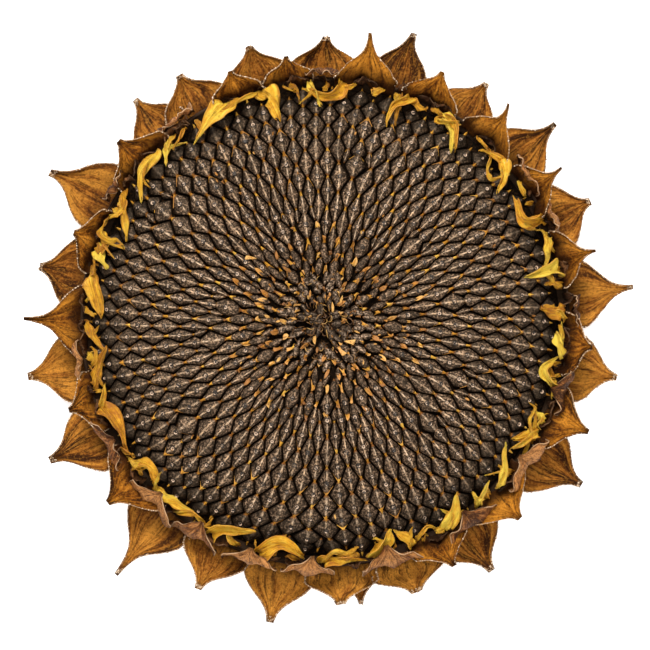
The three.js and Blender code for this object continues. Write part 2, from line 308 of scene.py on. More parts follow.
def seedFinish(name):
    paint = Paint(name)
    grain = paint.noise(paint.place, 1650, 2, 0.75)
    patches = paint.noise(paint.place, 620, 3, 0.6)
    streaks = paint.noise(paint.weave(15, 7), 1, 3, 0.7, 0.3)
    lengthOf = paint.node("ShaderNodeVectorMath", operation="LENGTH")
    paint.wire(lengthOf.inputs[0], paint.place)
    reach = lengthOf.outputs["Value"]  # metres from the foot of the head
    aside = paint.fromMiddle(paint.across)
    away = paint.fromMiddle(paint.length)
    coat = paint.ramp(grain, (0.41, coal), (0.51, (0.08, 0.048, 0.028)), (0.62, (0.47, 0.294, 0.177)))
    coat = paint.stain(
        coat,
        (patches, 0.42, 0.56, 0.6, 0, (0.01, 0.006, 0.004)),
        # painted shade: each seed darkens towards its edges, into the gaps between the seeds
        (aside, 0.35, 0.5, 0, 0.97, coal),
    )
    width = paint.math("SUBTRACT", 1.12, paint.times(away, 1.9))  # a seed is about this wide here
    # a pale stripe along each seed's ridge, partly the coat's own colour and partly a painted highlight, with
    # orange bits
    ridgeStripeAndHighlight = paint.times(
        paint.span(paint.times(aside, width), 0.01, 0.078, 1, 0),
        paint.span(streaks, 0.41, 0.53, 0.03, 0.9),  # broken into streaks
        paint.span(grain, 0.37, 0.5, 0.55, 1),
        paint.span(away, 0.05, 0.22, 0.3, 1),  # weak round the scar
        paint.span(away, 0.26, 0.43, 1, 0.15),  # and at both ends
        paint.span(reach, 0.0245, 0.035, 0.15, 1),  # and in the middle of the disc
    )
    coat = paint.blend(ridgeStripeAndHighlight, coat, (1.0, 0.7, 0.45))
    coat = paint.blend(paint.times(ridgeStripeAndHighlight, paint.span(patches, 0.48, 0.6, 0, 0.5)), coat, (0.75, 0.38, 0.12))
    plumpSheen = paint.times(  # a painted sheen along the wide, soft ridge of the plump seeds in the middle
        paint.span(aside, 0.14, 0.36, 1, 0),
        paint.span(reach, 0.03, 0.034, 0.62, 0),
        paint.span(grain, 0.46, 0.6, 0, 1),
    )
    coat = paint.blend(plumpSheen, coat, (0.95, 0.68, 0.47))
    ends = paint.stir(paint.length, patches, 0.12)
    coat = paint.stain(
        coat,
        (paint.tone, 0, 1, 0.3, 0, (0.006, 0.004, 0.003)),
        (reach, 0.05, 0.064, 0, 0.22, nearBlack),  # painted shade: the outer rows, turned down under the bracts and ray florets, are darker
        (reach, 0.065, 0.0745, 0, 0.8, nearBlack),
        (reach, 0.0305, 0.038, 0.1, 0, (0.012, 0.006, 0.003)),  # the seeds in the middle are darker as well
        (reach, 0.0285, 0.0305, 0.68, 0, (0.006, 0.003, 0.002)),
        (ends, 0.89, 0.98, 0, 0.72, (0.36, 0.15, 0.014)),
        (ends, 0.02, 0.11, 0.75, 0, (0.3, 0.1, 0.014)),
    )
    shine = paint.span(grain, 0.35, 0.65, 0.55, 0.28)
    relief = paint.weigh((grain, 0.6), (streaks, 0.4))
    return paint.finish(coat, shine, relief, 0.00045, 0.36, (1, 0.74, 0.5))


def scarFinish(name):
    paint = Paint(name)
    out = paint.across  # how far out on the scar, as its template stores it
    fibres = paint.noise(paint.place, 900, 2, 0.6)
    colour = paint.ramp(
        out, (0.24, (0.005, 0.003, 0.002)), (0.33, (0.66, 0.46, 0.31)), (0.5, (0.56, 0.38, 0.25))
    )
    colour = paint.stain(
        colour,
        (fibres, 0.44, 0.56, 0.95, 0, (0.012, 0.008, 0.005)),
        (out, 0.5, 0.57, 0, 1, nearBlack),
    )
    return paint.finish(colour, 0.45, fibres, 0.0001, 0.3, strength=0.5)


def bedFinish(name):
    paint = Paint(name)
    fibres = paint.noise(paint.place, 1500, 5, 0.7)
    # the chaff deep between the seeds, painted near black as the shade it lies in
    colour = paint.ramp(
        fibres, (0.4, (0.003, 0.002, 0.001)), (0.58, (0.012, 0.006, 0.003)), (0.75, (0.1, 0.045, 0.01))
    )
    return paint.finish(colour, 0.95, fibres, 0.0004, 0.05)


def chaffFinish(name, deep, bright, pale):
    paint = Paint(name)
    fibres = paint.noise(paint.place, 1900, 3, 0.6)
    mottle = paint.weigh((fibres, 0.55), (paint.tone, 0.45))
    colour = paint.ramp(mottle, (0.2, deep), (0.5, bright), (0.8, pale))
    return paint.finish(colour, 0.6, fibres, 0.00015)


def bractFinish(name, dark, middle, light, shaded, grey, rim):
    paint = Paint(name)
    bands = paint.noise(paint.weave(4.6, 1.2), 1.3, 3, 0.55, 0.6)
    veins = paint.noise(paint.weave(20, 2.4), 1, 6, 0.82, 0.4)
    mottle = paint.noise(paint.place, 240, 5, 0.75)
    specks = paint.noise(paint.place, 1250, 2, 0.75)
    margin = paint.stir(paint.fromMiddle(paint.across), specks, 0.05)
    value = paint.weigh((bands, 0.54), (mottle, 0.25), (paint.tone, 0.21))
    colour = paint.ramp(value, (0.41, dark), (0.485, middle), (0.59, light))
    colour = paint.stain(
        colour,
        (veins, 0.5, 0.59, 0, 0.8, dark),
        (veins, 0.37, 0.48, 0.6, 0, light),
        (specks, 0.5, 0.62, 0, 0.42, dark),
        (specks, 0.36, 0.47, 0.3, 0, light),
        (specks, 0.35, 0.6, 0, grey, greyBloom),
        (margin, 0.44, 0.485, 0, 0.5, dark),
        (margin, 0.482, 0.494, 0, rim, paleEdge),
        # painted shade towards the root
        (paint.length, *shaded, 0.92, 0, dark),
        (paint.length, 0.86, 0.98, 0, 0.6, dark),
    )
    relief = paint.weigh((veins, 0.6), (specks, 0.4))
    return paint.finish(colour, 0.6, relief, 0.0011, 0.18, (1, 0.75, 0.5))


def rayFinish(name):
    paint = Paint(name)
    veins = paint.noise(paint.weave(16, 1.5), 1, 5, 0.78, 0.4)
    mottle = paint.noise(paint.place, 380, 4, 0.6)
    value = paint.weigh((veins, 0.5), (mottle, 0.3), (paint.tone, 0.2))
    colour = paint.ramp(
        value, (0.37, (0.42, 0.14, 0.003)), (0.45, (0.84, 0.39, 0.008)), (0.56, (1.0, 0.69, 0.065))
    )
    colour = paint.stain(
        colour,
        (paint.length, 0.0, 0.36, 0.9, 0, (0.2, 0.06, 0.006)),
        (paint.fromMiddle(paint.across), 0.4, 0.5, 0, 0.65, (0.5, 0.17, 0.006)),
        (mottle, 0.6, 0.72, 0, 0.5, (0.4, 0.13, 0.008)),
    )
    return paint.finish(colour, 0.5, paint.weigh((veins, 0.75), (mottle, 0.25)), 0.0015)


def backFinish(name):
    paint = Paint(name)
    mottle = paint.noise(paint.place, 90, 5, 0.6)
    fibres = paint.noise(paint.place, 1400, 4, 0.7)
    value = paint.weigh((mottle, 0.7), (fibres, 0.3))
    colour = paint.ramp(
        value, (0.35, (0.16, 0.075, 0.025)), (0.52, (0.36, 0.2, 0.075)), (0.7, (0.52, 0.33, 0.15))
    )
    height = paint.split(paint.place)[2]
    # painted shade on the top of the rim, in the crevice under the bracts and ray florets
    colour = paint.stain(colour, (height, 0.0165, 0.018, 0, 0.95, (0.018, 0.007, 0.003)))
    return paint.finish(colour, 0.85, fibres, 0.0004, 0.2)


chaffLooks = {  # the darkest, the middle and the palest colour
    "goldenChaff": ((0.2, 0.06, 0.005), (0.6, 0.26, 0.016), (0.88, 0.53, 0.08)),
    "tanChaff": ((0.09, 0.026, 0.005), (0.48, 0.19, 0.028), (0.8, 0.46, 0.13)),
    "driedThreads": ((0.02, 0.008, 0.003), (0.16, 0.065, 0.014), (0.6, 0.34, 0.09)),
    "marginHairs": ((0.1, 0.045, 0.015), (0.62, 0.42, 0.24), (0.95, 0.78, 0.58)),
}
bractLooks = {  # three browns, where the painted shade at the root starts to fade and ends, grey bloom and pale rim
    "outerBractBrown": (
        (0.035, 0.009, 0.002), (0.28, 0.085, 0.01), (0.64, 0.26, 0.034), (0.25, 0.62), 0, 0.2,
    ),
    "middleBractBrown": (
        (0.022, 0.005, 0.001), (0.2, 0.054, 0.003), (0.6, 0.225, 0.02), (0.15, 0.62), 0, 0.45,
    ),
    "innerBractBrown": (
        (0.034, 0.008, 0.002), (0.24, 0.076, 0.018), (0.6, 0.26, 0.08), (0.0, 0.55), 0.1, 0.6,
    ),
    # the rim pales: dark brown, darkened further as painted shade in the crevice between the ray florets and
    # the bracts
    "rimPaleBrownInShade": ((0.015, 0.005, 0.002), (0.08, 0.027, 0.01), (0.22, 0.09, 0.03), (0.0, 0.5), 0.1, 0.1),
}
seedCoat = seedFinish("seedCoat")
scarPale = scarFinish("floretScar")
bedInShade = bedFinish("chaffBedInShade")
chaffGold, chaffTan, threadBrown, hairWhite = (chaffFinish(name, *look) for name, look in chaffLooks.items())
browns = [bractFinish(name, *look) for name, look in bractLooks.items()]
outerBrown, middleBrown, innerBrown, rimPalesInShade = browns
rayYellow = rayFinish("witheredYellow")
backStraw = backFinish("receptacleStraw")
print("materials made")


# The rows of seeds, from the edge of the disc to its middle, as the solids have them

disc = {
    "radius": 73.7,
    "crown": 30,
    "rimDrop": 8.5,
    "dip": 2.2,
    "dipRadius": 11,
    "neckShare": 0.22,
    "drift": math.radians(0.22),
    "crowding": 0.3,
    "unevenness": 0.2,
    "tieBreak": 0.01,
    "doubledEnd": 0.85,  # how far out a seed reaches that two rows share
    "doubledGirth": 0.86,
    "blockedEnd": 0.4,  # how far in a seed reaches where its row ends
    "blockedFlare": 0.3,
    "slimWithout": 37,
    "fillWithout": 15,
    "slimFiller": (0.62, 0.62, 0.5, 0.2),  # place, foot and tip in steps between rows, and width in gaps
    "plumpFiller": (0.7, 0.5, 0.36, 0.25),
    "fillerLean": (0.25, 0.4, 1.2),  # its whole lean, and how much of it its middle and its foot have
    "seed": 4217,
    "plan": [  # radius, step to the next row inwards, seeds in the row
        (73.7, 2.7, 51),
        (64, 3.5, 50),
        (50, 4.45, 47),
        (36, 5.05, 42.5),
        (26.5, 4.7, 35.5),
        (17, 3.7, 26),
        (8, 2.4, 13),
        (3.4, 1.8, 7),
    ],
}


def discHeight(radius):
    fall = disc["rimDrop"] * (radius / disc["radius"]) ** 5
    return disc["crown"] - fall - disc["dip"] * math.exp(-((radius / disc["dipRadius"]) ** 2))


def growRows(setup):
    draw = draws(setup["seed"])
    plan = setup["plan"]
    first = plan[0][2]
    angles = [(i + swing(draw, setup["unevenness"])) * fullTurn / first for i in range(first)]
    rows = [{"radius": setup["radius"], "angles": angles, "above": [[] for _ in angles]}]
    while True:
        radius = rows[-1]["radius"] - along(plan, rows[-1]["radius"], 1)
        if radius < plan[-1][0]:
            return rows
        before = rows[-1]["angles"]
        later = before[1:] + [before[0] + fullTurn]
        angles = [(a + b) / 2 for a, b in zip(before, later)]
        above = [[i] for i in range(len(before))]
        wanted = int(along(plan, radius, 2) + 0.5)
        while len(angles) > wanted:  # the two that stand closest become one
            gaps = []
            for i in range(len(angles)):
                if i + 1 == len(angles) or len(above[i]) > 1 or len(above[i + 1]) > 1:
                    gaps.append(math.inf)
                else:
                    gaps.append(angles[i + 1] - angles[i] + setup["tieBreak"] * next(draw))
            at = gaps.index(min(gaps))
            angles[at : at + 2] = [(angles[at] + angles[at + 1]) / 2]
            above[at : at + 2] = [above[at] + above[at + 1]]
        wrapped = [angles[-1] - fullTurn] + angles + [angles[0] + fullTurn]
        evened = [mix(own, (a + b) / 2, setup["crowding"]) for a, own, b in zip(wrapped, angles, wrapped[2:])]
        rows.append({"radius": radius, "angles": [a + setup["drift"] for a in evened], "above": above})


def near(angle, to):
    return angle - fullTurn * round((angle - to) / fullTurn)


def rowNecks(rows, r, share):  # where the seeds on either side of each gap in a row end, and the gap's middle
    row = rows[r]
    angles = row["angles"]
    necks = []
    for i, angle in enumerate(angles):
        after = near(angles[(i + 1) % len(angles)], angle + 0.1)
        half = (angle + after) / 2
        if r and r + 1 < len(rows):
            lower = half  # where two gaps share one seed, this gap keeps to its own middle
            for belowAngle, up in zip(rows[r + 1]["angles"], rows[r + 1]["above"]):
                if up == [i]:
                    lower = belowAngle
            upperRow = rows[r - 1]["angles"]
            upper = upperRow[(row["above"][i][-1] + 1) % len(upperRow)]
            half = (near(lower, half) + near(upper, half)) / 2
        necks.append((mix(half, angle, share), half, mix(half, after, share)))
    return necks


def fillers(radius, angle, outerNecks, step, setup):  # small seeds beside the outer end of a doubled one
    slimmer = radius > setup["slimWithout"]  # nearer the middle they are short and plump
    share, foot, tip, wide = setup["slimFiller" if slimmer else "plumpFiller"]
    leanWhole, leanMiddle, leanFoot = setup["fillerLean"]
    slim = wide * (outerNecks[1] - outerNecks[0])
    middle = radius + share * step
    for neck in outerNecks:
        lean = leanWhole * (neck - angle)
        yield {
            "radius": middle,
            "angle": neck + lean * leanMiddle,
            "outer": (middle + tip * step, neck),
            "inner": (middle - foot * step, neck + lean * leanFoot),
            "flare": 0.0,
            "girth": 1.0,
            "small": True,
            "left": neck + lean * leanMiddle - slim,
            "right": neck + lean * leanMiddle + slim,
        }


def seedPlaces(rows, setup):  # each seed's middle, its two ends and its two sides, as radius and angle
    necks = [rowNecks(rows, r, setup["neckShare"]) for r in range(len(rows))]
    places = []
    for r in range(1, len(rows) - 1):
        radius, outerRadius, innerRadius = (rows[k]["radius"] for k in (r, r - 1, r + 1))
        count = len(rows[r]["angles"])
        for i, angle in enumerate(rows[r]["angles"]):
            outerNecks = [near(necks[r - 1][g][1], angle) for g in rows[r]["above"][i]]
            doubled = len(outerNecks) > 1
            belowAbove = rows[r + 1]["above"]
            at = next(k for k, up in enumerate(belowAbove) if (i - 1) % count in up)
            blocked = i in belowAbove[at]
            inner = angle if blocked else near(necks[r + 1][at][1], angle)
            outerShare = setup["doubledEnd"] if doubled else 1
            innerShare = setup["blockedEnd"] if blocked else 1
            places.append(
                {
                    "radius": radius,
                    "angle": angle,
                    "outer": (mix(radius, outerRadius, outerShare), sum(outerNecks) / len(outerNecks)),
                    "inner": (mix(radius, innerRadius, innerShare), inner),
                    "flare": setup["blockedFlare"] if blocked else 0.0,
                    "girth": setup["doubledGirth"] if doubled and radius > setup["slimWithout"] else 1.0,
                    "small": False,
                    "left": near(necks[r][(i - 1) % count][2], angle),
                    "right": near(necks[r][i][0], angle),
                }
            )
            if doubled and radius > setup["fillWithout"]:
                places.extend(fillers(radius, angle, outerNecks, outerRadius - radius, setup))
    return places


seedSites = seedPlaces(growRows(disc), disc)
print("seed sites", len(seedSites))


# Seeds: one closed kite with a ridge, set between its two ends and its two sides

seedShape = {
    "neck": 0.08,
    "shoulder": 1.12,
    "roundness": 1.25,
    "plumpShoulder": 2.2,
    "plumpRoundness": 2.1,
    "ridgeFall": 0.9,
    "flankFall": 1.8,
    "skirt": 1.5,
    "skirtShare": (0.72, 0.9),
    "tightness": 0.99,
    "sizes": 0.1,
    "lift": 0.5,
    "lean": 0.22,
    "wander": 0.35,
    "twist": 1.2,
    "sink": 1.1,
    "middleRadius": 19.0,
    "looseCount": 62,
}


def seedTemplate(shape, shoulder, roundness, nearest):  # nearest: how near to the ridge the colours begin
    bm = newMesh()
    made = bmesh.ops.create_grid(bm, x_segments=6, y_segments=6, size=1.0)["verts"]
    uvMap = bm.loops.layers.uv["UVMap"]
    for face in bm.faces:
        face.smooth = True
        for loop in face.loops:
            side = 1 if face.calc_center_median().x > 0 else -1
            aside = mix(nearest, 0.5, abs(loop.vert.co.x))
            loop[uvMap].uv = (0.5 + side * aside, (loop.vert.co.y + 1) / 2)
    for v in made:
        u, t = v.co.x, v.co.y
        width = shape["neck"] + (1 - shape["neck"]) * (1 - abs(t) ** shoulder)
        fall = shape["ridgeFall"] * abs(t) ** 2.6 + shape["flankFall"] * abs(u) ** roundness * width**0.8
        v.co = (u * width, t, -fall)
    edges = [e for e in bm.edges if e.is_boundary]
    skirt = bmesh.ops.extrude_edge_only(bm, edges=edges)["geom"]
    wide, long = shape["skirtShare"]
    for v in skirt:
        if isinstance(v, bmesh.types.BMVert):
            v.co = (v.co.x * wide, v.co.y * long, v.co.z - shape["skirt"])
    bmesh.ops.contextual_create(bm, geom=[e for e in bm.edges if e.is_boundary])
    bmesh.ops.recalc_face_normals(bm, faces=bm.faces)
    return finishTemplate(bm, "seedTemplate")


def seedFrame(site):
    radius = site["radius"]
    discLevel = discHeight(radius)
    centre, left, right = (atBearing(radius, site[key], discLevel) for key in ("angle", "left", "right"))
    inner, outer = (atBearing(*site[key], discHeight(site[key][0])) for key in ("inner", "outer"))
    return centre, inner, outer, left, right


def seedPlace(site, shape, draw):  # where one seed's points go, and how plump it is
    centre, inner, outer, left, right = seedFrame(site)
    up = ((outer - inner).cross(left - right)).normalized()
    if up.z < 0:
        up.negate()
    lift = swing(draw, shape["lift"])
    lean = swing(draw, shape["lean"])
    size = shape["tightness"] * (1 + swing(draw, shape["sizes"]))
    wander = swing(draw, shape["wander"])
    shrivel = smooth(shape["middleRadius"] + 6, shape["middleRadius"] - 8, site["radius"])
    plumpness = smooth(shape["middleRadius"] + 15, shape["middleRadius"] + 3, site["radius"])
    twist = swing(draw, shape["twist"]) * shrivel
    shorten = 1 - 0.16 * plumpness - 0.26 * shrivel * next(draw)
    sink = shape["sink"] * shrivel * next(draw)
    half = (right - left) / 2 * size * site["girth"] * (1 - 0.14 * plumpness - 0.14 * shrivel * next(draw))

    def place(co):
        u, t, z = co
        spine = centre.lerp(outer if t > 0 else inner, abs(t) * shorten * 0.985)
        flare = 0 if t > 0 else site["flare"]
        sideways = half * u * (1 + flare * abs(t) ** 0.8)
        point = spine + sideways + up * (z * (1 - 0.25 * shrivel) + lift + lean * u - sink)
        point += (right - left).normalized() * (wander * t * (1 - abs(t)))
        if twist:
            point = centre + Matrix.Rotation(twist, 3, up) @ (point - centre)
        return point * mm

    return place, plumpness


def addLooseSeed(bm, template, shape, draw):  # one that lies any way over the middle
    radius = 1.5 + (shape["middleRadius"] - 6) * next(draw) ** 0.7
    angle = next(draw) * fullTurn
    pick = take(draw, 6)
    spot = atBearing(radius, angle, discHeight(radius) - 1.1 + 1.3 * pick[0])
    long, wide = 1.5 + 1.1 * pick[1], 1.0 + 0.55 * pick[2]
    turn = turned(angle - math.pi / 2 + (pick[3] - 0.5) * 1.4, 0.7 * (pick[4] - 0.35), 0.9 * (pick[5] - 0.5))

    def place(co):
        return (spot + turn @ Vector((co.x * wide, co.y * long, co.z * 0.6))) * mm

    addCopy(bm, template, place, pick[0] * 0.5)


def makeSeeds(shape):
    sharp = seedTemplate(shape, shape["shoulder"], shape["roundness"], 0)
    plump = seedTemplate(shape, shape["plumpShoulder"], shape["plumpRoundness"], 0.14)
    bm = newMesh()
    draw = draws(91)
    for site in seedSites:
        place, plumpness = seedPlace(site, shape, draw)
        addCopy(bm, plump if plumpness > 0.1 + 0.8 * next(draw) else sharp, place, next(draw))
    bmesh.ops.reverse_faces(bm, faces=bm.faces)  # their places mirror them, so the faces are turned outwards
    for _ in range(shape["looseCount"]):
        addLooseSeed(bm, plump, shape, draw)
    makePiece(bm, "seeds", seedCoat, ["seeds"])


makeSeeds(seedShape)
print("seeds made")


# Scars: a low rim round a small dimple on each ripe seed, where its floret stood

scarShape = {
    "segments": 8,
    "radii": (0.72, 0.66),
    "height": 0.3,
    "rim": (0.16, 0.03),  # width and rise
    "dimple": (0.24, -0.14),
    "within": 23,  # no scars nearer the middle
    "missing": 0.15,
}


def scarTemplate(shape):
    bm = newMesh()
    foot, top = shape["radii"]
    bmesh.ops.create_cone(
        bm, cap_ends=True, segments=shape["segments"], radius1=foot, radius2=top, depth=shape["height"]
    )
    for thickness, depth in (shape["rim"], shape["dimple"]):
        faces = [f for f in bm.faces if f.normal.z > 0.9 and len(f.verts) > 4]
        bmesh.ops.inset_region(bm, faces=faces, thickness=thickness, depth=depth)
    uvMap = bm.loops.layers.uv["UVMap"]
    for face in bm.faces:
        for loop in face.loops:
            loop[uvMap].uv = (math.hypot(loop.vert.co.x, loop.vert.co.y), 0.5)
    return finishTemplate(bm, "scarTemplate")


def makeScars(shape):
    template = scarTemplate(shape)
    bm = newMesh()
    draw = draws(77)
    for site in seedSites:
        pick = take(draw, 3)
        if site["radius"] < shape["within"] or pick[0] < shape["missing"] or site["small"]:
            continue
        centre, inner, outer, _, _ = seedFrame(site)
        spine = (outer - inner).normalized()
        middle = centre + spine * (pick[1] - 0.4) * 0.7
        turn = spine.to_track_quat("X", "Z").to_matrix()
        size = 0.95 + 0.25 * pick[2]
        addCopy(bm, template, lambda co: (middle + turn @ (co * size) + Vector((0, 0, 0.05))) * mm, pick[2])
    makePiece(bm, "floretScars", scarPale)


makeScars(scarShape)


# Chaff: a gold collar round the outer end of each seed, and the bed that everything stands on, painted near
# black as the shade deep between the seeds

collarShape = {
    "width": 0.38,
    "length": 0.66,
    "rise": 0.34,
    "tooth": 0.55,
    "within": 9,  # no collars nearer the middle
    "wing": 0.24,
    "wingsWithin": 64,
}


def collarTemplate(shape):
    bm = newMesh()
    bmesh.ops.create_grid(bm, x_segments=4, y_segments=2, size=1.0)
    for v in bm.verts:
        u, t = v.co.x, v.co.y
        reach = t + (shape["tooth"] if t > 0.5 and abs(u) in (0, 1) else 0)
        width = shape["width"] * (1 - 0.35 * t)
        v.co = (u * width, reach * shape["length"], shape["rise"] - 0.75 * abs(u) ** 1.3 + 0.12 * t)
    bmesh.ops.solidify(bm, geom=bm.faces[:], thickness=0.22)
    bmesh.ops.recalc_face_normals(bm, faces=bm.faces)
    return finishTemplate(bm, "collarTemplate")


def wingTemplate():  # one strip, from the collar down a seed's edge
    bm = newMesh()
    bmesh.ops.create_grid(bm, x_segments=1, y_segments=4, size=1.0)
    bmesh.ops.solidify(bm, geom=bm.faces[:], thickness=0.5)
    bmesh.ops.recalc_face_normals(bm, faces=bm.faces)
    return finishTemplate(bm, "wingTemplate")


def makeCollars(shape):
    template = collarTemplate(shape)
    wing = wingTemplate()
    bm = newMesh()
    draw = draws(5077)
    for site in seedSites:
        pick = take(draw, 10)
        if site["radius"] < shape["within"]:
            continue
        centre, _, outer, left, right = seedFrame(site)
        spine = (outer - centre).normalized()
        tip = outer - spine * (0.35 + 0.3 * pick[0]) + Vector((0, 0, -1.0 + 0.25 * pick[1]))
        turn = spine.to_track_quat("Y", "Z").to_matrix()
        size = 0.74 + 0.5 * pick[2] * pick[5]
        stretch = Vector((1, 0.75 + 0.55 * pick[3], 1))
        addCopy(bm, template, lambda co: (tip + turn @ (co * stretch * size)) * mm, pick[4])
        if site["radius"] > shape["wingsWithin"]:
            continue
        for side, share, thick in ((left, pick[6], pick[8]), (right, pick[7], pick[9])):
            start, end = outer.lerp(centre, 0.06), side.lerp(outer, 0.3 + 0.6 * share)
            normal = (end - start).cross(Vector((0, 0, 1))).normalized()

            def strip(co):
                s = (co.y + 1) / 2
                at = start.lerp(end, s) + Vector((0, 0, -0.95 - 0.75 * s + 0.3 * co.z))
                return (at + normal * (co.x * shape["wing"] * (0.5 + thick) * (1 - 0.75 * s))) * mm

            addCopy(bm, wing, strip, pick[4] * (0.4 + 0.6 * share))
    makePiece(bm, "chaffCollars", chaffGold)


bedShape = {
    "radii": (0, 6, 14, 24, 34, 44, 52, 58, 63, 67, 70, 72, 73.2),
    "below": 2.9,  # how far under the seeds' tops it lies
    "dip": 1.5,
    "dipRadius": 9,
    "foot": [(73.4, 18.4), (0, 18.4)],
    "steps": 72,
}


def spunPiece(profile, steps, name, material, nodes=(), form=None):
    bm = newMesh()
    verts = [bm.verts.new(Vector((radius, 0, height)) * mm) for radius, height in profile]
    edges = [bm.edges.new(pair) for pair in zip(verts, verts[1:])]
    bmesh.ops.spin(
        bm, geom=verts + edges, cent=(0, 0, 0), axis=(0, 0, 1), angle=fullTurn, steps=steps, use_merge=True
    )
    bmesh.ops.remove_doubles(bm, verts=bm.verts, dist=1e-6)
    if form:
        for v in bm.verts:
            v.co = form(v.co / mm) * mm
    bmesh.ops.recalc_face_normals(bm, faces=bm.faces)
    for face in bm.faces:
        face.smooth = True
    makePiece(bm, name, material, nodes)


def makeBed(shape):
    profile = []
    for radius in shape["radii"]:
        dip = shape["dip"] * math.exp(-((radius / shape["dipRadius"]) ** 2))
        profile.append((radius, discHeight(radius) - shape["below"] - dip))
    spunPiece(profile + shape["foot"], shape["steps"], "chaffBedInShade", bedInShade)


makeCollars(collarShape)
makeBed(bedShape)
print("chaff made")


# The shrivelled middle: torn chaff flakes and the threads of old florets

flakeShape = {
    "pales": 0.88,  # the share of seeds near the middle that keep the pale at their outer end
    "palesWithin": 27.0,
    "count": 70,
    "reach": (5.0, 22.0),
    "strays": 26,
    "straysReach": (22, 66),
    "outline": [(0, 0.5), (0.4, 1), (0.75, 0.7), (1, 0.1)],
    "thickness": 0.12,
}


def addFlake(bm, draw, radius, angle, size, lift=0.0):
    pick = take(draw, 8)
    spot = atBearing(radius, angle, discHeight(radius) - 0.9 + lift + pick[0] * 1.1)
    turn = turned(angle - math.pi / 2 + (pick[1] - 0.5) * 1.1, 0.1 + pick[2] * 0.8, (pick[3] - 0.5) * 1.3)
    wide = 0.38 + 0.42 * pick[6]

    def place(u, s):  # narrow at the foot, widest above the middle, with a torn end
        outline = along(flakeShape["outline"], s) if pick[7] > 0.3 else mix(0.15, 0.95, s)
        width = wide * size * outline * (1 + 0.6 * (pick[5] - 0.5) * u)
        bend = 0.8 * size * (s - 0.35) ** 2 + 0.9 * width * u * u
        tooth = 0.5 * size * (pick[7] - 0.5) * u * (s > 0.8)
        return spot + turn @ Vector((u * width, (s - 0.5) * 2.9 * size + tooth, bend))

    addSheet(bm, 2, 4, place, pick[4])


def makeFlakes(shape):
    bm = newMesh()
    draw = draws(3301)
    for site in seedSites:
        endRadius, endAngle = site["outer"]
        if site["radius"] < shape["palesWithin"] and next(draw) < shape["pales"]:
            addFlake(bm, draw, endRadius - 0.3, endAngle, 0.6 + 0.7 * next(draw), -0.7)
    for _ in range(shape["count"]):
        radius = mix(*shape["reach"], next(draw) ** 1.2)
        addFlake(bm, draw, radius, next(draw) * fullTurn, 0.4 + 0.8 * next(draw) ** 2.2)
    for _ in range(shape["strays"]):
        radius = mix(*shape["straysReach"], next(draw))
        addFlake(bm, draw, radius, next(draw) * fullTurn, 0.3 + 0.3 * next(draw))
    makePiece(bm, "chaffFlakes", chaffTan, thickness=shape["thickness"])


threadShape = {"count": 120, "reach": 13, "bends": 4, "steps": 6, "taper": 0.96, "tipTaper": 0.72}


def addThread(bm, points, thick, tone, shape):
    ring = bmesh.ops.create_circle(bm, segments=4, radius=thick * mm)["verts"]
    at = curveThrough(points, 0)
    heading = (curveThrough(points, 0.02) - at).normalized()
    toneLayer = bm.verts.layers.float["tone"]
    turn = heading.to_track_quat("Z", "Y")
    for v in ring:
        v.co = at * mm + turn @ v.co
        v[toneLayer] = tone
    edges = list({e for v in ring for e in v.link_edges})
    bmesh.ops.contextual_create(bm, geom=edges)
    steps = shape["steps"]
    for k in range(1, steps + 1):
        made = bmesh.ops.extrude_edge_only(bm, edges=edges)["geom"]
        ring = [g for g in made if isinstance(g, bmesh.types.BMVert)]
        edges = [g for g in made if isinstance(g, bmesh.types.BMEdge) and all(v in ring for v in g.verts)]
        onward = curveThrough(points, k / steps)
        newHeading = (onward - at).normalized()
        bend = heading.rotation_difference(newHeading)
        narrow = shape["tipTaper"] if k == steps else shape["taper"]
        for v in ring:
            v.co = onward * mm + bend @ ((v.co - at * mm) * narrow)
            v[toneLayer] = tone
        at, heading = onward, newHeading
    bmesh.ops.contextual_create(bm, geom=edges)


def makeThreads(shape):
    bm = newMesh()
    draw = draws(884)
    for _ in range(shape["count"]):
        radius = 0.3 + shape["reach"] * next(draw)
        angle = next(draw) * fullTurn
        points = [atBearing(radius, angle, discHeight(radius) - 1.0)]
        heading = angle + swing(draw, 3.2)
        step = 0.35 + 0.5 * next(draw)
        turn = swing(draw, 2.6)
        for k in range(shape["bends"]):
            heading += turn * 0.6 + swing(draw, 0.7)
            rise = 0.9 - 0.5 * k + swing(draw, 0.8)
            points.append(points[-1] + atBearing(step, heading, rise * 0.75))
        addThread(bm, points, 0.09 + 0.1 * next(draw), next(draw), shape)
    bmesh.ops.recalc_face_normals(bm, faces=bm.faces)
    makePiece(bm, "floretThreads", threadBrown)


makeFlakes(flakeShape)
makeThreads(threadShape)
print("middle made")


# Bracts. Each blade: bearing in degrees, reach of the tip, full width, sideways hook and height of the tip
# and, where given, how much narrower its point is. A bend: distance, how much of the root's height it keeps
# against the tip's, and what is added. Tones run from 0, dark brown, to 1, golden.

